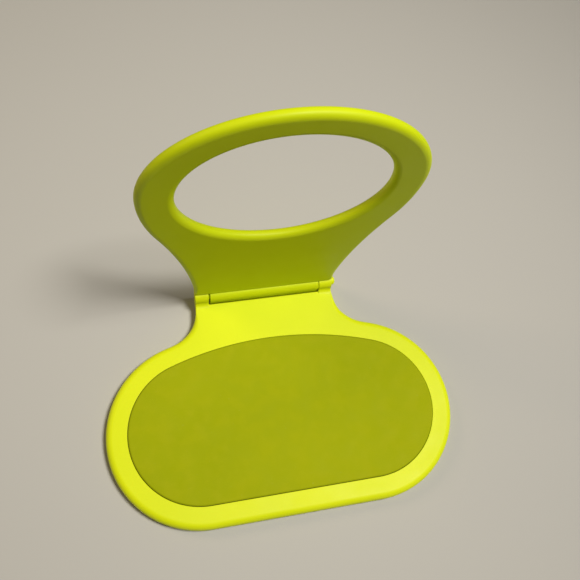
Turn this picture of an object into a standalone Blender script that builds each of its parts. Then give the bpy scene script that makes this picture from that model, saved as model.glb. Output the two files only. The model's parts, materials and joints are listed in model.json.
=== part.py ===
"""Folding phone shelf that hangs on a wall charger.

A padded support plate carries the phone. A hanger ring, hinged to the plate's neck, goes over the
charger's body. Units are metres and +Z is up. The origin is on the plate's underside, midway
between the pad's two round ends. The ring stands square to the plate, and folds forward over the
pad by turning about +X.
"""

import math

import bmesh
import bpy
from mathutils import Vector

MM = 0.001

# Clearances.
FACE_GAP = 0.3 * MM
RUNNING_GAP = 0.1 * MM
FLUSH_STEP = 0.05 * MM
CUT_OVERRUN = 5.0 * MM
CHORD_ERROR = 0.03 * MM

# Soft pad: a straight front edge, two round ends and a wide back arc.
PAD_WIDTH = 80.0 * MM
PAD_END_RADIUS = 18.5 * MM
PAD_BACK_RADIUS = 85.7 * MM
PAD_PROUD = 0.4 * MM
PAD_EDGE_ROUND = 0.5 * MM

# Adhesive film under the pad.
FILM_THICKNESS = 0.3 * MM
FILM_INSET = 1.0 * MM

# Support plate.
FRAME_MARGIN = 5.5 * MM
PLATE_THICKNESS = 4.0 * MM
PLATE_TOP_ROUND = 1.6 * MM
PLATE_BOTTOM_ROUND = 0.8 * MM
POCKET_DEPTH = 2.0 * MM
NECK_WIDTH = 38.0 * MM
NECK_FILLET = 10.4 * MM
NECK_CORNER = 1.7 * MM
NECK_LENGTH = 13.768 * MM

# Hinge.
AXIS_RISE = 1.6 * MM
BARREL_RADIUS = 2.0 * MM
EAR_WIDTH = 3.7 * MM
EAR_FILLET = 1.2 * MM
EAR_FOOT = 1.0 * MM
PIN_RADIUS = 1.2 * MM
PIN_OVERHANG = 1.15 * MM
PIN_DOME = 0.7 * MM
PIN_CHAMFER = 0.3 * MM
BLIND_WALL = 1.2 * MM
HEEL_DEPTH = 2.8 * MM
HEEL_ROOT = 0.5 * MM

# Hanger ring. Heights are measured from the hinge axis.
RING_THICKNESS = 2.6 * MM
RING_EDGE_ROUND = 1.15 * MM
RING_CENTRE = 52.5 * MM
HOLE_WIDTH = 45.6 * MM
HOLE_HEIGHT = 39.2 * MM
RIM_SIDE = 7.9 * MM
RIM_TOP = 6.4 * MM
RING_SIDE_RADIUS = 40.0 * MM
RING_NECK_RADIUS = 110.0 * MM
RING_CORNER = 1.3 * MM
FOOT_CORNER = 0.3 * MM
SHOULDER_GAP = 0.4 * MM

# Places that follow from the sizes above.
PAD_END_CENTRE = PAD_WIDTH / 2 - PAD_END_RADIUS
PAD_BACK_CENTRE = -math.sqrt((PAD_BACK_RADIUS - PAD_END_RADIUS) ** 2 - PAD_END_CENTRE**2)
HINGE_REACH = PAD_BACK_CENTRE + PAD_BACK_RADIUS + NECK_LENGTH
AXIS_HEIGHT = PLATE_THICKNESS + AXIS_RISE
EAR_INNER = NECK_WIDTH / 2 - EAR_WIDTH
EAR_OUTER = NECK_WIDTH / 2 - FLUSH_STEP
BARREL_LENGTH = 2 * (EAR_INNER - FACE_GAP)
RING_WIDTH = HOLE_WIDTH + 2 * RIM_SIDE
RING_RISE = HOLE_HEIGHT / 2 + RIM_TOP
PIN_START = -EAR_OUTER + BLIND_WALL
PIN_END = EAR_OUTER + PIN_OVERHANG
POCKET_FLOOR = PLATE_THICKNESS - POCKET_DEPTH
FILM_BOTTOM = POCKET_FLOOR + FACE_GAP
PAD_BOTTOM = FILM_BOTTOM + FILM_THICKNESS + FACE_GAP
PAD_TOP = PLATE_THICKNESS + PAD_PROUD
RING_BACK = BARREL_RADIUS - FLUSH_STEP
RING_FRONT = RING_BACK - RING_THICKNESS
ROUND_STEPS = 4
RIM_STEPS = 20
PIN_SIDES = 32
BARREL_SIDES = 48
SHARP_ANGLE = math.radians(32.0)
QUARTER = math.pi / 2


def material(name, colour, roughness, metallic=0.0):
    made = bpy.data.materials.new(name)
    made.use_nodes = True
    shader = made.node_tree.nodes["Principled BSDF"]
    shader.inputs["Base Color"].default_value = (*colour, 1.0)
    shader.inputs["Roughness"].default_value = roughness
    shader.inputs["Metallic"].default_value = metallic
    return made


def arc(centre, radius, start, end, concave=False):
    """(point, outward normal) pairs along an arc. A concave arc's outward normal points at its centre."""
    step = 2 * math.acos(1 - min(CHORD_ERROR / radius, 0.5))
    count = max(2, math.ceil(abs(end - start) / step))
    pairs = []
    for i in range(count + 1):
        angle = start + (end - start) * i / count
        radial = Vector((math.cos(angle), math.sin(angle)))
        pairs.append((Vector(centre) + radial * radius, -radial if concave else radial))
    return pairs


def ellipse(centre, half_width, half_height, start, end, count):
    pairs = []
    for i in range(count + 1):
        angle = start + (end - start) * i / count
        point = Vector((half_width * math.cos(angle), half_height * math.sin(angle)))
        normal = Vector((math.cos(angle) / half_width, math.sin(angle) / half_height))
        pairs.append((Vector(centre) + point, normal.normalized()))
    return pairs


def circles_meet(centre_a, radius_a, centre_b, radius_b):
    """The crossing of two circles that lies on the right of the way from centre a to centre b."""
    a, b = Vector(centre_a), Vector(centre_b)
    distance = (b - a).length
    along = (radius_a**2 - radius_b**2 + distance**2) / (2 * distance)
    aside = math.sqrt(radius_a**2 - along**2)
    way = (b - a) / distance
    return a + way * along + Vector((way.y, -way.x)) * aside


def bearing(from_point, to_point):
    way = Vector(to_point) - Vector(from_point)
    return math.atan2(way.y, way.x)


def both_sides(right):
    """A closed outline from its right half, which runs from the front of the centre line to its back."""
    left = [(Vector((-p.x, p.y)), Vector((-n.x, n.y))) for p, n in reversed(right)]
    outline = []
    for pair in right + left:
        if not outline or (pair[0] - outline[-1][0]).length > RUNNING_GAP / 10:
            outline.append(pair)
    return outline


def pad_end(grow=0.0):
    """The pad's right end arc, grown by a margin, and the bearing at which the back arc takes over."""
    join = bearing((0.0, PAD_BACK_CENTRE), (PAD_END_CENTRE, 0.0))
    return arc((PAD_END_CENTRE, 0.0), PAD_END_RADIUS + grow, -QUARTER, join), join


def pad_outline(grow=0.0):
    end_arc, join = pad_end(grow)
    return both_sides(end_arc + arc((0.0, PAD_BACK_CENTRE), PAD_BACK_RADIUS + grow, join, QUARTER))


def plate_outline():
    """The pad's outline grown by the frame, with a neck that leads back to the hinge."""
    end_arc, join = pad_end(FRAME_MARGIN)
    back_radius = PAD_BACK_RADIUS + FRAME_MARGIN
    rear = HINGE_REACH + BARREL_RADIUS - FLUSH_STEP
    half = NECK_WIDTH / 2
    # The fillet touches the back arc and the neck's side, and leaves the neck's rear corner free.
    room = rear - NECK_CORNER - PAD_BACK_CENTRE
    largest = (room**2 - back_radius**2 + half**2) / (2 * (back_radius - half))
    fillet = min(NECK_FILLET, largest)
    fillet_y = PAD_BACK_CENTRE + math.sqrt((back_radius + fillet) ** 2 - (half + fillet) ** 2)
    fillet_centre = (half + fillet, fillet_y)
    meet = bearing((0.0, PAD_BACK_CENTRE), fillet_centre)
    right = end_arc + arc((0.0, PAD_BACK_CENTRE), back_radius, join, meet)
    right += arc(fillet_centre, fillet, meet + math.pi, math.pi, concave=True)
    right += arc((half - NECK_CORNER, rear - NECK_CORNER), NECK_CORNER, 0.0, QUARTER)
    return both_sides(right)


def ring_outline():
    """The ring with its neck and foot, in the plane of the ring, from the hinge axis up."""
    foot_half = BARREL_LENGTH / 2 - FLUSH_STEP
    shoulder = BARREL_RADIUS + SHOULDER_GAP
    corner_centre = Vector((NECK_WIDTH / 2 - RING_CORNER, shoulder + RING_CORNER))
    side_centre = Vector((RING_WIDTH / 2 - RING_SIDE_RADIUS, RING_CENTRE))
    flare_centre = circles_meet(
        corner_centre,
        RING_NECK_RADIUS + RING_CORNER,
        side_centre,
        RING_NECK_RADIUS + RING_SIDE_RADIUS,
    )
    flare_start = bearing(flare_centre, corner_centre) % math.tau
    flare_end = bearing(flare_centre, side_centre) % math.tau
    step_centre = (foot_half + FOOT_CORNER, shoulder - FOOT_CORNER)
    right = arc((foot_half - RING_CORNER, RING_CORNER), RING_CORNER, -QUARTER, 0.0)
    right += arc(step_centre, FOOT_CORNER, math.pi, QUARTER, concave=True)
    right += arc(corner_centre, RING_CORNER, -QUARTER, bearing(corner_centre, flare_centre))
    right += arc(flare_centre, RING_NECK_RADIUS, flare_start, flare_end, concave=True)
    right += arc(side_centre, RING_SIDE_RADIUS, bearing(side_centre, flare_centre), 0.0)
    right += ellipse((0.0, RING_CENTRE), RING_WIDTH / 2, RING_RISE, 0.0, QUARTER, RIM_STEPS)
    return both_sides(right)


def rounded_levels(low, high, low_round, high_round):
    """(inset, level) pairs from one face to the other, along quarter rounds at both edges."""
    levels = []
    for i in range(ROUND_STEPS + 1):
        turn = QUARTER * i / ROUND_STEPS
        levels.append((low_round * (1 - math.sin(turn)), low + low_round * (1 - math.cos(turn))))
    for i in range(ROUND_STEPS + 1):
        turn = QUARTER * i / ROUND_STEPS
        levels.append((high_round * (1 - math.cos(turn)), high - high_round * (1 - math.sin(turn))))
    return levels


def loft(name, rings, surface, location=(0.0, 0.0, 0.0)):
    """One closed body through rings of points, with flat end caps."""
    mesh = bmesh.new()
    loops = [[mesh.verts.new(point) for point in ring] for ring in rings]
    mesh.faces.new(list(reversed(loops[0])))
    mesh.faces.new(loops[-1])
    for lower, upper in zip(loops, loops[1:]):
        for i, vert in enumerate(lower):
            following = (i + 1) % len(lower)
            mesh.faces.new((vert, lower[following], upper[following], upper[i]))
    bmesh.ops.recalc_face_normals(mesh, faces=mesh.faces)
    data = bpy.data.meshes.new(name)
    mesh.to_mesh(data)
    mesh.free()
    data.materials.append(surface)
    made = bpy.data.objects.new(name, data)
    made.location = location
    bpy.context.scene.collection.objects.link(made)
    return made


def lofted_plan(name, outline, levels, surface):
    """A body whose outline lies in the XY plane and whose levels are heights."""
    rings = []
    for inset, level in levels:
        points = [p - n * inset for p, n in outline]
        rings.append([Vector((point.x, point.y, level)) for point in points])
    return loft(name, rings, surface)


def lofted_upright(name, outline, levels, surface):
    """A body whose outline lies in the XZ plane through the hinge axis and whose levels are depths."""
    rings = []
    for inset, level in levels:
        points = [p - n * inset for p, n in outline]
        rings.append([Vector((point.x, level, point.y)) for point in points])
    return loft(name, rings, surface, (0.0, HINGE_REACH, AXIS_HEIGHT))


def turned_along_x(name, profile, surface, sides):
    """A round body on the hinge axis, from (place along the axis, radius) pairs."""
    rings = []
    for along, radius in profile:
        turns = [math.tau * i / sides for i in range(sides)]
        rings.append([Vector((along, radius * math.cos(t), radius * math.sin(t))) for t in turns])
    return loft(name, rings, surface, (0.0, HINGE_REACH, AXIS_HEIGHT))


def block(name, low, high, surface, location=(0.0, 0.0, 0.0)):
    corners = [(low[0], low[1]), (high[0], low[1]), (high[0], high[1]), (low[0], high[1])]
    rings = [[Vector((x, y, z)) for x, y in corners] for z in (low[2], high[2])]
    return loft(name, rings, surface, location)


def combine(target, other, operation):
    """Joins the other body to the target, or cuts it away, and removes it."""
    step = target.modifiers.new(other.name, "BOOLEAN")
    step.operation = operation
    step.object = other
    bpy.context.view_layer.update()
    graph = bpy.context.evaluated_depsgraph_get()
    result = bpy.data.meshes.new_from_object(target.evaluated_get(graph))
    target.modifiers.remove(step)
    target.data = result
    bpy.data.objects.remove(other)


def finish(made):
    made.data.shade_smooth()
    made.data.set_sharp_from_angle(angle=SHARP_ANGLE)
    return made


def ear(side, surface):
    """One outer knuckle: round on top, blended forward into the plate and rooted in the neck."""
    radius = BARREL_RADIUS
    blend_level = PLATE_THICKNESS + EAR_FILLET - AXIS_HEIGHT
    foot_level = EAR_FOOT - AXIS_HEIGHT
    profile = [(radius, foot_level)]
    profile += [tuple(p) for p, n in arc((0.0, 0.0), radius, 0.0, math.pi)]
    profile += [tuple(p) for p, n in arc((-radius - EAR_FILLET, blend_level), EAR_FILLET, 0.0, -QUARTER)]
    # The blend ends just below the plate's top face, so that the two bodies overlap.
    profile[-1] = (profile[-1][0], profile[-1][1] - FLUSH_STEP)
    profile += [(-radius - EAR_FILLET, foot_level)]
    ends = sorted((side * (EAR_INNER + FLUSH_STEP), side * EAR_OUTER))
    rings = [[Vector((x, y, z)) for y, z in profile] for x in ends]
    return loft("ear", rings, surface, (0.0, HINGE_REACH, AXIS_HEIGHT))


def make_support_plate(surface):
    levels = rounded_levels(0.0, PLATE_THICKNESS, PLATE_BOTTOM_ROUND, PLATE_TOP_ROUND)
    plate = lofted_plan("support_plate", plate_outline(), levels, surface)
    pocket_levels = [(0.0, POCKET_FLOOR), (0.0, PLATE_THICKNESS + CUT_OVERRUN)]
    pocket = lofted_plan("pocket", pad_outline(FACE_GAP), pocket_levels, surface)
    combine(plate, pocket, "DIFFERENCE")
    slot_front = HINGE_REACH - BARREL_RADIUS - FACE_GAP
    slot_back = HINGE_REACH + BARREL_RADIUS + CUT_OVERRUN
    slot_low = (-EAR_INNER, slot_front, -CUT_OVERRUN)
    slot_high = (EAR_INNER, slot_back, PLATE_THICKNESS + CUT_OVERRUN)
    combine(plate, block("slot", slot_low, slot_high, surface), "DIFFERENCE")
    for side in (-1, 1):
        combine(plate, ear(side, surface), "UNION")
    bore_radius = PIN_RADIUS + RUNNING_GAP
    bore_profile = [(PIN_START - FACE_GAP, bore_radius), (PIN_END + CUT_OVERRUN, bore_radius)]
    combine(plate, turned_along_x("bore", bore_profile, surface, PIN_SIDES), "DIFFERENCE")
    return finish(plate)


def make_hanger_ring(surface):
    levels = rounded_levels(RING_FRONT, RING_BACK, RING_EDGE_ROUND, RING_EDGE_ROUND)
    ring = lofted_upright("hanger_ring", ring_outline(), levels, surface)
    hole = ellipse((0.0, RING_CENTRE), HOLE_WIDTH / 2, HOLE_HEIGHT / 2, 0.0, math.tau, 4 * RIM_STEPS)[:-1]
    # The hole's cutter is widest outside both faces, and its waist rounds the hole's edges.
    waist = [(-inset, level) for inset, level in levels]
    mouth = RING_EDGE_ROUND + CUT_OVERRUN
    waist.insert(0, (-mouth, RING_FRONT - CUT_OVERRUN))
    waist.append((-mouth, RING_BACK + CUT_OVERRUN))
    combine(ring, lofted_upright("hole", hole, waist, surface), "DIFFERENCE")
    half = BARREL_LENGTH / 2
    barrel = turned_along_x("barrel", [(-half, BARREL_RADIUS), (half, BARREL_RADIUS)], surface, BARREL_SIDES)
    combine(ring, barrel, "UNION")
    heel_low = (-half + FLUSH_STEP, -BARREL_RADIUS + FLUSH_STEP, -HEEL_DEPTH)
    heel_high = (half - FLUSH_STEP, HEEL_ROOT, HEEL_ROOT)
    heel = block("heel", heel_low, heel_high, surface, (0.0, HINGE_REACH, AXIS_HEIGHT))
    combine(ring, heel, "UNION")
    bore_radius = PIN_RADIUS + RUNNING_GAP
    bore_profile = [(-half - CUT_OVERRUN, bore_radius), (half + CUT_OVERRUN, bore_radius)]
    combine(ring, turned_along_x("bore", bore_profile, surface, PIN_SIDES), "DIFFERENCE")
    return finish(ring)


def make_grip_pad(surface):
    levels = [(0.0, PAD_BOTTOM)]
    levels += rounded_levels(PAD_BOTTOM, PAD_TOP, 0.0, PAD_EDGE_ROUND)[ROUND_STEPS + 1 :]
    return finish(lofted_plan("grip_pad", pad_outline(), levels, surface))


def make_pad_adhesive(surface):
    levels = [(0.0, FILM_BOTTOM), (0.0, FILM_BOTTOM + FILM_THICKNESS)]
    return finish(lofted_plan("pad_adhesive", pad_outline(-FILM_INSET), levels, surface))


def make_hinge_pin(surface):
    profile = [(PIN_START, PIN_RADIUS - PIN_CHAMFER), (PIN_START + PIN_CHAMFER, PIN_RADIUS)]
    for i in range(ROUND_STEPS + 1):
        turn = QUARTER * i / ROUND_STEPS
        along = PIN_END - PIN_DOME * (1 - math.sin(turn))
        profile.append((along, PIN_RADIUS - PIN_DOME * (1 - math.cos(turn))))
    return finish(turned_along_x("hinge_pin", profile, surface, PIN_SIDES))


def hang_on_axis(pieces):
    """Parents the pieces that turn to an empty on the hinge axis, where they already have their origins."""
    axis = bpy.data.objects.new("hinge_axis", None)
    axis.location = (0.0, HINGE_REACH, AXIS_HEIGHT)
    axis.empty_display_size = RING_THICKNESS
    bpy.context.scene.collection.objects.link(axis)
    for piece in pieces:
        piece.parent = axis
        piece.location = (0.0, 0.0, 0.0)


def main():
    for old in list(bpy.data.objects):
        bpy.data.objects.remove(old)
    lime = material("lime_plastic", (0.62, 0.78, 0.02), 0.38)
    olive = material("olive_silicone", (0.30, 0.36, 0.02), 0.75)
    film = material("clear_adhesive", (0.80, 0.80, 0.72), 0.45)
    make_support_plate(lime)
    make_pad_adhesive(film)
    make_grip_pad(olive)
    make_hinge_pin(lime)
    hang_on_axis([make_hanger_ring(lime)])


main()
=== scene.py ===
"""Looks of the folding phone shelf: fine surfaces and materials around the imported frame.

Metres, +Z up. The plate lies on the floor and the hanger ring stands up from the hinge at its neck.
"""

import json
import math

import bmesh
import bpy
from mathutils import Matrix, Vector


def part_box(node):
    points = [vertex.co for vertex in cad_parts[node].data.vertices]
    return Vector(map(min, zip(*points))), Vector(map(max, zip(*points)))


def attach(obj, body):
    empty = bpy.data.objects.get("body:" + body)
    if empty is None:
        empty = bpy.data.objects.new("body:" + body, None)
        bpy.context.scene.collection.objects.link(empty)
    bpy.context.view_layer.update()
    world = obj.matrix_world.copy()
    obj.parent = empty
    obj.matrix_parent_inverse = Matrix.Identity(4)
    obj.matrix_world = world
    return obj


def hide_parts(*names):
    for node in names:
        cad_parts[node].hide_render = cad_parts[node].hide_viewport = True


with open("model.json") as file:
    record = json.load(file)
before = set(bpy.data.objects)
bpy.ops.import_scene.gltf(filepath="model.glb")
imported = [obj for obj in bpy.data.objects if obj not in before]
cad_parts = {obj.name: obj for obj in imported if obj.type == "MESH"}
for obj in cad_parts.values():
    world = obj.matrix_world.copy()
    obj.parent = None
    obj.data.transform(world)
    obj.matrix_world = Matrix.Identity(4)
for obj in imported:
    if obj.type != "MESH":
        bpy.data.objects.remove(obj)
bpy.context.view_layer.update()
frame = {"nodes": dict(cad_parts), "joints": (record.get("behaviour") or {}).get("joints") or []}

MM = 0.001
QUARTER = math.pi / 2

# The frame's own places.
PLATE_HIGH = Vector(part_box("support_plate")[1])
PAD_LOW, PAD_HIGH = (Vector(corner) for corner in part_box("grip_pad"))
RING_HIGH = Vector(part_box("hanger_ring")[1])
PIN_LOW, PIN_HIGH = (Vector(corner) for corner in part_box("hinge_pin"))
FILM_LOW = Vector(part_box("pad_adhesive")[0])
AXIS = Vector(frame["joints"][0]["pos_m"])

# Plate.
PLATE_THICKNESS = 4.0 * MM
PLATE_TOP_ROUND = 1.8 * MM
PLATE_BOTTOM_ROUND = 0.8 * MM
NECK_HALF = 19.0 * MM
NECK_FILLET = 10.4 * MM
NECK_CORNER = 0.9 * MM
SLOT_GAP = 0.3 * MM
SLOT_FRONT_GAP = 0.2 * MM
SLOT_EDGE = 0.18 * MM
SLOT_EDGE_RUN = 5.0 * MM

# Pocket and pad.
POCKET_EDGE = 0.12 * MM
POCKET_GAP = 0.10 * MM
FILM_CLEARANCE = 0.3 * MM
PAD_EDGE = 0.50 * MM

# Hinge.
EAR_WIDTH = 3.7 * MM
EAR_FILLET = 1.2 * MM
EAR_FOOT = 1.0 * MM
EAR_EDGE = 0.15 * MM
BARREL_RADIUS = 2.0 * MM
BARREL_END_EDGE = 0.12 * MM
BARREL_PLAY = 0.2 * MM
HEEL_DEPTH = 2.5 * MM
HEEL_INSET = 0.1 * MM
HEEL_ROOT = 0.5 * MM
BORE_RADIUS = 1.3 * MM
PIN_DOME = 0.75 * MM
FLUSH_STEP = 0.05 * MM

# Hanger ring. Heights are measured from the hinge axis, and its front edges are wider than they are deep.
RING_THICKNESS = 2.6 * MM
RING_EDGE = 1.2 * MM
RING_EDGE_WIDTH = 1.6 * MM
RING_CENTRE = 52.5 * MM
RIM_SIDE = 7.9 * MM
RIM_TOP = 6.4 * MM
RING_SIDE_RADIUS = 40.0 * MM
RING_NECK_RADIUS = 110.0 * MM
RING_CORNER = 1.3 * MM
FOOT_CORNER = 0.3 * MM
SHOULDER_GAP = 0.2 * MM
SHOULDER_EDGE = 0.15 * MM
SHOULDER_DEPTH_RUN = 2.5 * MM
SHOULDER_WIDTH_RUN = 5.0 * MM

# Values worked out from the sizes above. The pad's wide back arc touches its two round ends.
PAD_END_RADIUS = -PAD_LOW.y
PAD_END_CENTRE = PAD_HIGH.x - PAD_END_RADIUS
PAD_BULGE = PAD_HIGH.y - PAD_END_RADIUS
PAD_BACK_RADIUS = (PAD_HIGH.y**2 - PAD_END_RADIUS**2 + PAD_END_CENTRE**2) / (2 * PAD_BULGE)
PAD_BACK_CENTRE = PAD_HIGH.y - PAD_BACK_RADIUS
FRAME_MARGIN = PLATE_HIGH.x - PAD_HIGH.x
EAR_INNER = NECK_HALF - EAR_WIDTH
EAR_OUTER = NECK_HALF - FLUSH_STEP
BARREL_HALF = EAR_INNER - SLOT_GAP
RING_BACK = BARREL_RADIUS - FLUSH_STEP
RING_FRONT = RING_BACK - RING_THICKNESS
HOLE_HALF_WIDTH = RING_HIGH.x - RIM_SIDE
RING_RISE = RING_HIGH.z - AXIS.z - RING_CENTRE
HOLE_HALF_HEIGHT = RING_RISE - RIM_TOP

# Fineness of the meshes.
CHORD_ERROR = 0.004 * MM
SHORTEST_STEP = 0.002 * MM
FEWEST_ARC_STEPS = 5
ROUND_STEPS = 10
RIM_STEPS = 48
NECK_STEPS = 12
BARREL_SIDES = 96
SHARP_ANGLE = math.radians(35.0)
CUT_OVERRUN = 5.0 * MM

# Camera and stage. Places are in metres and lamp powers in watts.
CAMERA_PLACE = Vector((-0.0268, -0.0323, 0.1788))
CAMERA_AZIMUTH = math.radians(-27.03)
CAMERA_ELEVATION = math.radians(66.62)
CAMERA_ROLL = math.radians(18.31)
SENSOR_WIDTH = 36.0
LENS = 42.30
NEAREST_SEEN = 0.005
FLOOR_HALF = 6.0
KEY_PLACE = Vector((0.42, -0.08, 1.12))
KEY_TARGET = Vector((0.0, 0.03, 0.0))
KEY_RADIUS = 0.17
KEY_CONE = math.radians(30.0)
KEY_POWER = 68.0
KEY_COLOUR = (1.0, 0.965, 0.88)
RIM_PLACE = Vector((-0.60, 0.40, 0.50))
RIM_TARGET = Vector((0.0, 0.02, 0.03))
RIM_WIDTH = 0.30
RIM_POWER = 1.6
RIM_COLOUR = (1.0, 0.78, 0.45)
AMBIENT_COLOUR = (1.0, 0.97, 0.92, 1.0)
AMBIENT_STRENGTH = 0.07

# Colours. A pair is the darker and the lighter tone of one surface.
PLATE_LIMES = (0.650, 0.735, 0.003), (0.685, 0.760, 0.004)
RING_LIMES = (0.600, 0.705, 0.002), (0.630, 0.730, 0.003)
SPECK_LIME = (0.72, 0.80, 0.05)
OLIVE_DARK = (0.290, 0.335, 0.001)
OLIVE_LIGHT = (0.320, 0.360, 0.002)
OLIVE_MOTTLE = (0.350, 0.370, 0.004)
DUST = (0.55, 0.56, 0.20)
FILM_DARK = (0.70, 0.70, 0.62)
FILM_LIGHT = (0.82, 0.82, 0.76)
FLOOR_DARK = (0.43, 0.42, 0.40)
FLOOR_LIGHT = (0.45, 0.44, 0.42)


def arc(centre, radius, start, end, concave=False):
    """(point, outward normal) pairs along an arc. A concave arc's outward normal points at its centre."""
    step = 2 * math.acos(1 - min(CHORD_ERROR / radius, 0.5))
    count = max(FEWEST_ARC_STEPS, math.ceil(abs(end - start) / step))
    pairs = []
    for i in range(count + 1):
        angle = start + (end - start) * i / count
        radial = Vector((math.cos(angle), math.sin(angle)))
        pairs.append((Vector(centre) + radial * radius, -radial if concave else radial))
    return pairs


def line(start, end, normal, count):
    start, end = Vector(start), Vector(end)
    return [(start.lerp(end, i / count), Vector(normal)) for i in range(count + 1)]


def ellipse(centre, half_width, half_height, start, end, count):
    pairs = []
    for i in range(count + 1):
        angle = start + (end - start) * i / count
        point = Vector((half_width * math.cos(angle), half_height * math.sin(angle)))
        normal = Vector((math.cos(angle) / half_width, math.sin(angle) / half_height))
        pairs.append((Vector(centre) + point, normal.normalized()))
    return pairs


def circles_meet(centre_a, radius_a, centre_b, radius_b):
    """The crossing of two circles that lies on the right of the way from centre a to centre b."""
    a, b = Vector(centre_a), Vector(centre_b)
    distance = (b - a).length
    along = (radius_a**2 - radius_b**2 + distance**2) / (2 * distance)
    aside = math.sqrt(radius_a**2 - along**2)
    way = (b - a) / distance
    return a + way * along + Vector((way.y, -way.x)) * aside


def bearing(from_point, to_point):
    way = Vector(to_point) - Vector(from_point)
    return math.atan2(way.y, way.x)


def both_sides(right):
    """A closed outline from its right half, which runs from the front of the centre line to its back."""
    left = [(Vector((-p.x, p.y)), Vector((-n.x, n.y))) for p, n in reversed(right)]
    outline = []
    for pair in right + left:
        if not outline or (pair[0] - outline[-1][0]).length > SHORTEST_STEP:
            outline.append(pair)
    if (outline[0][0] - outline[-1][0]).length < SHORTEST_STEP:
        outline.pop()
    return outline


def pad_outline(grow=0.0):
    join = bearing((0.0, PAD_BACK_CENTRE), (PAD_END_CENTRE, 0.0))
    right = arc((PAD_END_CENTRE, 0.0), PAD_END_RADIUS + grow, -QUARTER, join)
    right += arc((0.0, PAD_BACK_CENTRE), PAD_BACK_RADIUS + grow, join, QUARTER)
    return both_sides(right)


def plate_outline():
    """The plate's plan, with the neck and the slot between the hinge ears."""
    join = bearing((0.0, PAD_BACK_CENTRE), (PAD_END_CENTRE, 0.0))
    back_radius = PAD_BACK_RADIUS + FRAME_MARGIN
    fillet_reach = back_radius + NECK_FILLET
    fillet_x = NECK_HALF + NECK_FILLET
    fillet_centre = Vector((fillet_x, PAD_BACK_CENTRE + math.sqrt(fillet_reach**2 - fillet_x**2)))
    meet = bearing((0.0, PAD_BACK_CENTRE), fillet_centre)
    rear = AXIS.y + BARREL_RADIUS - FLUSH_STEP
    slot_front = AXIS.y - BARREL_RADIUS - SLOT_FRONT_GAP
    right = arc((PAD_END_CENTRE, 0.0), PAD_END_RADIUS + FRAME_MARGIN, -QUARTER, join)
    right += arc((0.0, PAD_BACK_CENTRE), back_radius, join, meet)
    right += arc(fillet_centre, NECK_FILLET, meet + math.pi, math.pi, concave=True)
    right += line((NECK_HALF, fillet_centre.y), (NECK_HALF, rear - NECK_CORNER), (1, 0), NECK_STEPS)
    right += arc((NECK_HALF - NECK_CORNER, rear - NECK_CORNER), NECK_CORNER, 0.0, QUARTER)
    right += arc((EAR_INNER + FOOT_CORNER, rear - FOOT_CORNER), FOOT_CORNER, QUARTER, math.pi)
    corner = (EAR_INNER - FOOT_CORNER, slot_front + FOOT_CORNER)
    right += arc(corner, FOOT_CORNER, 0.0, -QUARTER, concave=True)
    return both_sides(right)


def ring_outline():
    """The ring with its neck and foot, in the plane of the ring, from the hinge axis up."""
    foot_half = BARREL_HALF - FLUSH_STEP
    shoulder = BARREL_RADIUS + SHOULDER_GAP
    corner_centre = Vector((NECK_HALF - RING_CORNER, shoulder + RING_CORNER))
    side_centre = Vector((RING_HIGH.x - RING_SIDE_RADIUS, RING_CENTRE))
    flare_centre = circles_meet(
        corner_centre,
        RING_NECK_RADIUS + RING_CORNER,
        side_centre,
        RING_NECK_RADIUS + RING_SIDE_RADIUS,
    )
    flare_start = bearing(flare_centre, corner_centre) % math.tau
    flare_end = bearing(flare_centre, side_centre) % math.tau
    step_centre = (foot_half + FOOT_CORNER, shoulder - FOOT_CORNER)
    right = arc((foot_half - RING_CORNER, RING_CORNER), RING_CORNER, -QUARTER, 0.0)
    right += arc(step_centre, FOOT_CORNER, math.pi, QUARTER, concave=True)
    right += arc(corner_centre, RING_CORNER, -QUARTER, bearing(corner_centre, flare_centre))
    right += arc(flare_centre, RING_NECK_RADIUS, flare_start, flare_end, concave=True)
    right += arc(side_centre, RING_SIDE_RADIUS, bearing(side_centre, flare_centre), 0.0)
    right += ellipse((0.0, RING_CENTRE), RING_HIGH.x, RING_RISE, 0.0, QUARTER, RIM_STEPS)
    return both_sides(right)


def flat(point, level):
    return Vector((point.x, point.y, level))


def upright(point, level):
    """A point of an outline in the plane of the ring, at a depth behind the hinge axis."""
    return Vector((point.x, AXIS.y + level, AXIS.z + point.y))


def add_ring(mesh, points):
    return [mesh.verts.new(point) for point in points]


def join_rings(mesh, rings):
    for lower, upper in zip(rings, rings[1:]):
        for i, vert in enumerate(lower):
            following = (i + 1) % len(lower)
            mesh.faces.new((vert, lower[following], upper[following], upper[i]))


def fill_between(mesh, outer, inner):
    """A flat face between an outer loop and the loop of a hole."""
    edges = []
    for loop in (outer, inner):
        for i, vert in enumerate(loop):
            following = loop[(i + 1) % len(loop)]
            edges.append(mesh.edges.get((vert, following)) or mesh.edges.new((vert, following)))
    bmesh.ops.triangle_fill(mesh, edges=edges, use_beauty=True)


def circular(low, high):
    """The rounds of one point, as (width, depth) of the low edge and of the high edge."""
    return (low, low), (high, high)


def edge_rings(mesh, outline, rounds, low, high, place):
    """Rings from the low face to the high face, with both edges rounded as each point's rounds say."""
    rings = []
    for i in range(ROUND_STEPS + 1):
        turn = QUARTER * i / ROUND_STEPS
        points = []
        for (p, n), ((width, depth), _) in zip(outline, rounds):
            points.append(place(p - n * width * (1 - math.sin(turn)), low + depth * (1 - math.cos(turn))))
        rings.append(add_ring(mesh, points))
    for i in range(ROUND_STEPS + 1):
        turn = QUARTER * i / ROUND_STEPS
        points = []
        for (p, n), (_, (width, depth)) in zip(outline, rounds):
            points.append(place(p - n * width * (1 - math.cos(turn)), high - depth * (1 - math.sin(turn))))
        rings.append(add_ring(mesh, points))
    join_rings(mesh, rings)
    return rings


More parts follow.
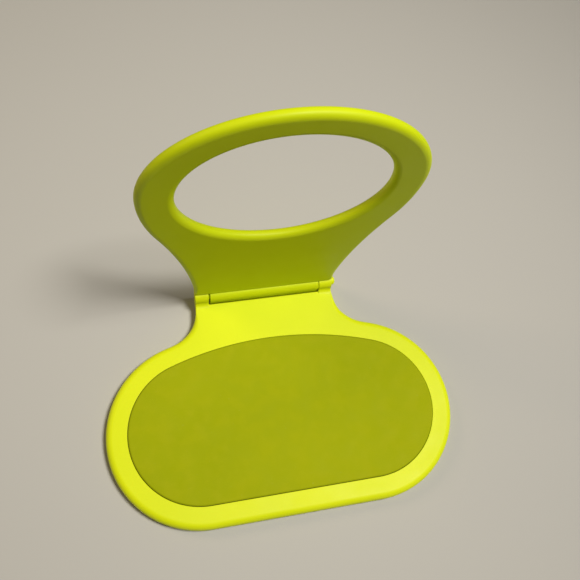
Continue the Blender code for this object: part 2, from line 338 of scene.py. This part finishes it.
def as_object(name, mesh, surface):
    bmesh.ops.recalc_face_normals(mesh, faces=mesh.faces)
    data = bpy.data.meshes.new(name)
    mesh.to_mesh(data)
    mesh.free()
    data.materials.append(surface)
    made = bpy.data.objects.new(name, data)
    bpy.context.scene.collection.objects.link(made)
    return made


def combine(target, other, operation):
    """Joins the other body to the target, or cuts it away, and removes it."""
    step = target.modifiers.new(other.name, "BOOLEAN")
    step.operation = operation
    step.object = other
    bpy.context.view_layer.update()
    graph = bpy.context.evaluated_depsgraph_get()
    result = bpy.data.meshes.new_from_object(target.evaluated_get(graph))
    target.modifiers.remove(step)
    target.data = result
    bpy.data.objects.remove(other)


def smooth(made):
    made.data.shade_smooth()
    made.data.set_sharp_from_angle(angle=SHARP_ANGLE)
    weighted = made.modifiers.new("flat faces stay flat", "WEIGHTED_NORMAL")
    weighted.mode = "FACE_AREA"
    weighted.weight = 50
    weighted.keep_sharp = True
    return made


def turned_along_x(name, profile, surface):
    """A round body on the hinge axis, from (place along the axis, radius) pairs."""
    mesh = bmesh.new()
    turns = [math.tau * i / BARREL_SIDES for i in range(BARREL_SIDES)]
    rings = []
    for along, radius in profile:
        points = [
            Vector((along, AXIS.y + radius * math.cos(t), AXIS.z + radius * math.sin(t)))
            for t in turns
        ]
        rings.append(add_ring(mesh, points))
    join_rings(mesh, rings)
    mesh.faces.new(list(reversed(rings[0])))
    mesh.faces.new(rings[-1])
    return as_object(name, mesh, surface)


def rounded_rod(start, end, radius, edge):
    """The profile of a rod along X with rounded ends."""
    profile = []
    for i in range(ROUND_STEPS + 1):
        turn = QUARTER * i / ROUND_STEPS
        profile.append((start + edge * (1 - math.cos(turn)), radius - edge * (1 - math.sin(turn))))
    for i in range(ROUND_STEPS + 1):
        turn = QUARTER * i / ROUND_STEPS
        profile.append((end - edge * (1 - math.sin(turn)), radius - edge * (1 - math.cos(turn))))
    return profile


def block(name, low, high, surface):
    mesh = bmesh.new()
    corners = [(low[0], low[1]), (high[0], low[1]), (high[0], high[1]), (low[0], high[1])]
    rings = [add_ring(mesh, [Vector((x, y, z)) for x, y in corners]) for z in (low[2], high[2])]
    join_rings(mesh, rings)
    mesh.faces.new(list(reversed(rings[0])))
    mesh.faces.new(rings[-1])
    return as_object(name, mesh, surface)


def ear(side, surface):
    """One outer knuckle: round on top, blended forward into the plate and rooted in the neck."""
    radius = BARREL_RADIUS
    blend_level = PLATE_THICKNESS + EAR_FILLET - AXIS.z
    foot_level = EAR_FOOT - AXIS.z
    toe = arc((-radius - EAR_FILLET, blend_level), EAR_FILLET, 0.0, -QUARTER, concave=True)
    toe[-1] = (toe[-1][0] - Vector((0.0, FLUSH_STEP)), toe[-1][1])
    profile = [(Vector((radius, foot_level)), Vector((1.0, 0.0)))]
    profile += arc((0.0, 0.0), radius, 0.0, math.pi) + toe
    profile += [(Vector((-radius - EAR_FILLET, foot_level)), Vector((-1.0, 0.0)))]
    inner, outer = side * (EAR_INNER + FLUSH_STEP), side * EAR_OUTER

    def place(point, level):
        return Vector((level, AXIS.y + point.x, AXIS.z + point.y))

    mesh = bmesh.new()
    rounds = [circular(EAR_EDGE, EAR_EDGE)] * len(profile)
    rings = edge_rings(mesh, profile, rounds, min(inner, outer), max(inner, outer), place)
    mesh.faces.new(list(reversed(rings[0])))
    mesh.faces.new(rings[-1])
    return as_object("ear", mesh, surface)


def ease(value, start, end):
    """0 up to start, 1 from end on, and a smooth way between them."""
    share = min(max((value - start) / (end - start), 0.0), 1.0)
    return share * share * (3 - 2 * share)


def make_plate(surface):
    """The moulded plate, with its pocket, neck and ears, in one body."""
    outline = plate_outline()
    ear_front = AXIS.y - BARREL_RADIUS - EAR_FILLET
    rounds = []
    for point, _ in outline:
        near_ear = ease(point.y, ear_front - SLOT_EDGE_RUN, ear_front)
        top = PLATE_TOP_ROUND + (SLOT_EDGE - PLATE_TOP_ROUND) * near_ear
        bottom = PLATE_BOTTOM_ROUND + (SLOT_EDGE - PLATE_BOTTOM_ROUND) * near_ear
        rounds.append(circular(bottom, top))
    mesh = bmesh.new()
    outer = edge_rings(mesh, outline, rounds, 0.0, PLATE_THICKNESS, flat)
    mesh.faces.new(list(reversed(outer[0])))
    pocket = pad_outline(POCKET_GAP)
    floor = FILM_LOW.z - FILM_CLEARANCE
    rings = []
    for i in range(ROUND_STEPS + 1):
        turn = QUARTER * i / ROUND_STEPS
        grow = POCKET_EDGE * (1 - math.sin(turn))
        level = PLATE_THICKNESS - POCKET_EDGE * (1 - math.cos(turn))
        rings.append(add_ring(mesh, [flat(p + n * grow, level) for p, n in pocket]))
    rings.append(add_ring(mesh, [flat(p, floor) for p, n in pocket]))
    join_rings(mesh, rings)
    mesh.faces.new(rings[-1])
    fill_between(mesh, outer[-1], rings[0])
    plate = as_object("plate_moulding", mesh, surface)
    for side in (-1, 1):
        combine(plate, ear(side, surface), "UNION")
    bore = [(PIN_LOW.x - SLOT_GAP, BORE_RADIUS), (PIN_HIGH.x + CUT_OVERRUN, BORE_RADIUS)]
    combine(plate, turned_along_x("bore", bore, surface), "DIFFERENCE")
    return smooth(plate)


def make_ring(surface):
    """The hanger moulding: the ring, its neck, the middle barrel and the stop heel under it."""
    outline = ring_outline()
    mesh = bmesh.new()
    shoulder = BARREL_RADIUS + SHOULDER_GAP
    rounds = []
    for point, _ in outline:
        deepening = ease(point.y, shoulder, shoulder + SHOULDER_DEPTH_RUN)
        widening = ease(point.y, shoulder, shoulder + SHOULDER_WIDTH_RUN)
        depth = SHOULDER_EDGE + (RING_EDGE - SHOULDER_EDGE) * deepening
        width = SHOULDER_EDGE + (RING_EDGE_WIDTH - SHOULDER_EDGE) * widening
        rounds.append(((max(width, depth), depth), (depth, depth)))
    outer = edge_rings(mesh, outline, rounds, RING_FRONT, RING_BACK, upright)
    hole = ellipse((0.0, RING_CENTRE), HOLE_HALF_WIDTH, HOLE_HALF_HEIGHT, 0.0, math.tau, 4 * RIM_STEPS)[:-1]
    hole = [(p, -n) for p, n in hole]
    rounds = [((RING_EDGE_WIDTH, RING_EDGE), (RING_EDGE, RING_EDGE))] * len(hole)
    inner = edge_rings(mesh, hole, rounds, RING_FRONT, RING_BACK, upright)
    fill_between(mesh, outer[0], inner[0])
    fill_between(mesh, outer[-1], inner[-1])
    ring = as_object("ring_moulding", mesh, surface)
    # The barrel rests nearly against the right ear, with its play at the left.
    barrel_left = BARREL_PLAY / 2 - BARREL_HALF
    barrel_right = BARREL_HALF + BARREL_PLAY
    barrel = rounded_rod(barrel_left, barrel_right, BARREL_RADIUS, BARREL_END_EDGE)
    combine(ring, turned_along_x("barrel", barrel, surface), "UNION")
    heel_half = BARREL_HALF - HEEL_INSET
    heel_low = (-heel_half, AXIS.y - BARREL_RADIUS + HEEL_INSET, AXIS.z - HEEL_DEPTH)
    heel_high = (heel_half, AXIS.y + HEEL_ROOT, AXIS.z + HEEL_ROOT)
    combine(ring, block("heel", heel_low, heel_high, surface), "UNION")
    bore = [(-BARREL_HALF - CUT_OVERRUN, BORE_RADIUS), (BARREL_HALF + CUT_OVERRUN, BORE_RADIUS)]
    combine(ring, turned_along_x("bore", bore, surface), "DIFFERENCE")
    return smooth(ring)


def make_pad(surface):
    """The soft inlay, a slightly proud slab with a softly rounded top edge."""
    outline = pad_outline()
    mesh = bmesh.new()
    rings = [add_ring(mesh, [flat(p, PAD_LOW.z) for p, n in outline])]
    for i in range(ROUND_STEPS + 1):
        turn = QUARTER * i / ROUND_STEPS
        inset = PAD_EDGE * (1 - math.cos(turn))
        level = PAD_HIGH.z - PAD_EDGE * (1 - math.sin(turn))
        rings.append(add_ring(mesh, [flat(p - n * inset, level) for p, n in outline]))
    join_rings(mesh, rings)
    mesh.faces.new(list(reversed(rings[0])))
    mesh.faces.new(rings[-1])
    return smooth(as_object("pad_inlay", mesh, surface))


def make_pin(surface):
    radius = (PIN_HIGH.z - PIN_LOW.z) / 2
    return smooth(turned_along_x("pin", rounded_rod(PIN_LOW.x, PIN_HIGH.x, radius, PIN_DOME), surface))


class Nodes:
    """Short ways to add and join shader nodes of one material."""

    def __init__(self, name):
        self.material = bpy.data.materials.new(name)
        self.material.use_nodes = True
        self.tree = self.material.node_tree
        self.shader = self.tree.nodes["Principled BSDF"]
        self.place = self.add("ShaderNodeTexCoord").outputs["Object"]

    def add(self, kind, **settings):
        node = self.tree.nodes.new(kind)
        for key, value in settings.items():
            setattr(node, key, value)
        return node

    def link(self, source, target):
        self.tree.links.new(source, target)

    def set(self, socket, value):
        self.shader.inputs[socket].default_value = value

    def noise(self, scale, detail=3.0, roughness=0.5):
        node = self.add("ShaderNodeTexNoise")
        node.inputs["Scale"].default_value = scale
        node.inputs["Detail"].default_value = detail
        node.inputs["Roughness"].default_value = roughness
        self.link(self.place, node.inputs["Vector"])
        return node.outputs["Fac"]

    def remap(self, source, low, high, to_low, to_high):
        """The source with low to high stretched over to_low to to_high, and held at both ends."""
        node = self.add("ShaderNodeMapRange")
        for name, value in zip(("From Min", "From Max", "To Min", "To Max"), (low, high, to_low, to_high)):
            node.inputs[name].default_value = value
        self.link(source, node.inputs["Value"])
        return node.outputs["Result"]

    def blend(self, source, colour_a, colour_b):
        """Colour a where the source is 0 and colour b where it is 1. Either may be a node's output."""
        node = self.add("ShaderNodeMix", data_type="RGBA")
        self.link(source, node.inputs["Factor"])
        for socket, colour in (("A", colour_a), ("B", colour_b)):
            found = [s for s in node.inputs if s.name == socket and s.type == "RGBA"][0]
            if isinstance(colour, bpy.types.NodeSocket):
                self.link(colour, found)
            else:
                found.default_value = (*colour, 1.0)
        return [s for s in node.outputs if s.type == "RGBA"][0]

    def bump(self, source, height, normal=None):
        """Relief of a height in metres, on top of the normal of a coarser relief if one is given."""
        node = self.add("ShaderNodeBump")
        node.inputs["Strength"].default_value = 1.0
        node.inputs["Distance"].default_value = height
        self.link(source, node.inputs["Height"])
        if normal:
            self.link(normal, node.inputs["Normal"])
        return node.outputs["Normal"]


def lime_plastic(name, darker, lighter):
    """Satin injection moulding: a fine grain, faint flow variation and a little light in the depth."""
    made = Nodes(name)
    flow = made.noise(scale=45.0, detail=2.0)
    colour = made.blend(made.remap(flow, 0.35, 0.65, 0.0, 1.0), darker, lighter)
    speck = made.noise(scale=2600.0, detail=2.0)
    colour = made.blend(made.remap(speck, 0.62, 0.80, 0.0, 0.2), colour, SPECK_LIME)
    made.link(colour, made.shader.inputs["Base Color"])
    grain = made.noise(scale=3800.0, detail=3.0, roughness=0.6)
    sheen = made.noise(scale=160.0, detail=4.0)
    made.link(made.remap(sheen, 0.3, 0.7, 0.44, 0.54), made.shader.inputs["Roughness"])
    wave = made.bump(made.noise(scale=70.0, detail=1.0), height=0.05 * MM)
    made.link(made.bump(grain, height=0.012 * MM, normal=wave), made.shader.inputs["Normal"])
    made.set("Subsurface Weight", 0.12)
    made.set("Subsurface Radius", (1.0, 1.2, 0.2))
    made.set("Subsurface Scale", 1.2 * MM)
    made.set("IOR", 1.49)
    made.set("Specular IOR Level", 0.22)
    return made.material


def olive_silicone(name):
    """Matt silicone: a soft fine grain, cloudy tone and a few dust specks that cling to it."""
    made = Nodes(name)
    cloud = made.noise(scale=38.0, detail=3.0)
    colour = made.blend(made.remap(cloud, 0.3, 0.7, 0.0, 1.0), OLIVE_DARK, OLIVE_LIGHT)
    mottle = made.noise(scale=240.0, detail=2.0)
    colour = made.blend(made.remap(mottle, 0.45, 0.65, 0.0, 0.35), colour, OLIVE_MOTTLE)
    dust = made.noise(scale=900.0, detail=5.0, roughness=0.7)
    colour = made.blend(made.remap(dust, 0.66, 0.74, 0.0, 0.18), colour, DUST)
    made.link(colour, made.shader.inputs["Base Color"])
    sheen = made.noise(scale=220.0, detail=3.0)
    made.link(made.remap(sheen, 0.3, 0.7, 0.66, 0.80), made.shader.inputs["Roughness"])
    wave = made.bump(made.noise(scale=90.0, detail=2.0), height=0.04 * MM)
    grain = made.noise(scale=4200.0, detail=3.0, roughness=0.65)
    made.link(made.bump(grain, height=0.02 * MM, normal=wave), made.shader.inputs["Normal"])
    made.set("Sheen Weight", 0.02)
    made.set("Sheen Roughness", 0.5)
    made.set("IOR", 1.41)
    made.set("Specular IOR Level", 0.10)
    return made.material


def clear_film(name):
    """Milky double-sided film with a slightly uneven coat of glue."""
    made = Nodes(name)
    colour = made.blend(made.noise(scale=300.0, detail=3.0), FILM_DARK, FILM_LIGHT)
    made.link(colour, made.shader.inputs["Base Color"])
    glue = made.bump(made.noise(scale=1500.0, detail=2.0), height=0.01 * MM)
    made.link(glue, made.shader.inputs["Normal"])
    made.set("Roughness", 0.4)
    return made.material


def floor_surface():
    made = Nodes("floor_pale")
    colour = made.blend(made.noise(scale=6.0, detail=2.0), FLOOR_DARK, FLOOR_LIGHT)
    made.link(colour, made.shader.inputs["Base Color"])
    made.set("Roughness", 0.85)
    return made.material


def add_camera():
    """A camera high in front of the plate's left half, looking steeply down with some roll."""
    back = Vector((
        math.sin(CAMERA_AZIMUTH) * math.cos(CAMERA_ELEVATION),
        -math.cos(CAMERA_AZIMUTH) * math.cos(CAMERA_ELEVATION),
        math.sin(CAMERA_ELEVATION),
    ))
    right = Vector((0, 0, 1)).cross(back).normalized()
    up = back.cross(right)
    turned_right = right * math.cos(CAMERA_ROLL) + up * math.sin(CAMERA_ROLL)
    turned_up = up * math.cos(CAMERA_ROLL) - right * math.sin(CAMERA_ROLL)
    data = bpy.data.cameras.new("camera")
    data.sensor_width = SENSOR_WIDTH
    data.lens = LENS
    data.clip_start = NEAREST_SEEN
    camera = bpy.data.objects.new("camera", data)
    rotation = Matrix((turned_right, turned_up, back)).transposed()
    camera.matrix_world = Matrix.Translation(CAMERA_PLACE) @ rotation.to_4x4()
    bpy.context.scene.collection.objects.link(camera)
    bpy.context.scene.camera = camera


def place_light(data, place, target, power, colour):
    data.energy = power
    data.color = colour
    light = bpy.data.objects.new(data.name, data)
    light.location = place
    light.rotation_euler = (place - target).to_track_quat("Z", "Y").to_euler()
    bpy.context.scene.collection.objects.link(light)


def add_lights():
    """A soft round key lamp, whose pool of light fades out beyond the object, and a faint warm rim lamp."""
    key = bpy.data.lights.new("key", "SPOT")
    key.shadow_soft_size = KEY_RADIUS
    key.spot_size = KEY_CONE
    key.spot_blend = 1.0
    place_light(key, KEY_PLACE, KEY_TARGET, KEY_POWER, KEY_COLOUR)
    rim = bpy.data.lights.new("rim", "AREA")
    rim.shape = "DISK"
    rim.size = RIM_WIDTH
    place_light(rim, RIM_PLACE, RIM_TARGET, RIM_POWER, RIM_COLOUR)


def add_floor():
    mesh = bmesh.new()
    corners = [(-1, -1, 0), (1, -1, 0), (1, 1, 0), (-1, 1, 0)]
    mesh.faces.new([mesh.verts.new(Vector(corner) * FLOOR_HALF) for corner in corners])
    as_object("floor", mesh, floor_surface())


def add_world():
    world = bpy.data.worlds.new("studio")
    world.use_nodes = True
    background = world.node_tree.nodes["Background"]
    background.inputs["Color"].default_value = AMBIENT_COLOUR
    background.inputs["Strength"].default_value = AMBIENT_STRENGTH
    bpy.context.scene.world = world
    bpy.context.scene.view_settings.view_transform = "Standard"


def show(piece, body, node):
    """Fixes a piece to its body, in place of a CAD node."""
    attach(piece, body)
    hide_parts(node)
    return piece


plate_lime = lime_plastic("plate_lime", *PLATE_LIMES)
ring_lime = lime_plastic("ring_lime", *RING_LIMES)
add_camera()
add_floor()
add_world()
add_lights()
show(make_plate(plate_lime), "support", "support_plate")
show(make_ring(ring_lime), "hanger", "hanger_ring")
show(make_pin(plate_lime), "support", "hinge_pin")
inlay = show(make_pad(olive_silicone("olive_silicone")), "support", "grip_pad")
film = frame["nodes"]["pad_adhesive"]
for material_slot in film.material_slots:
    material_slot.material = clear_film("clear_film")
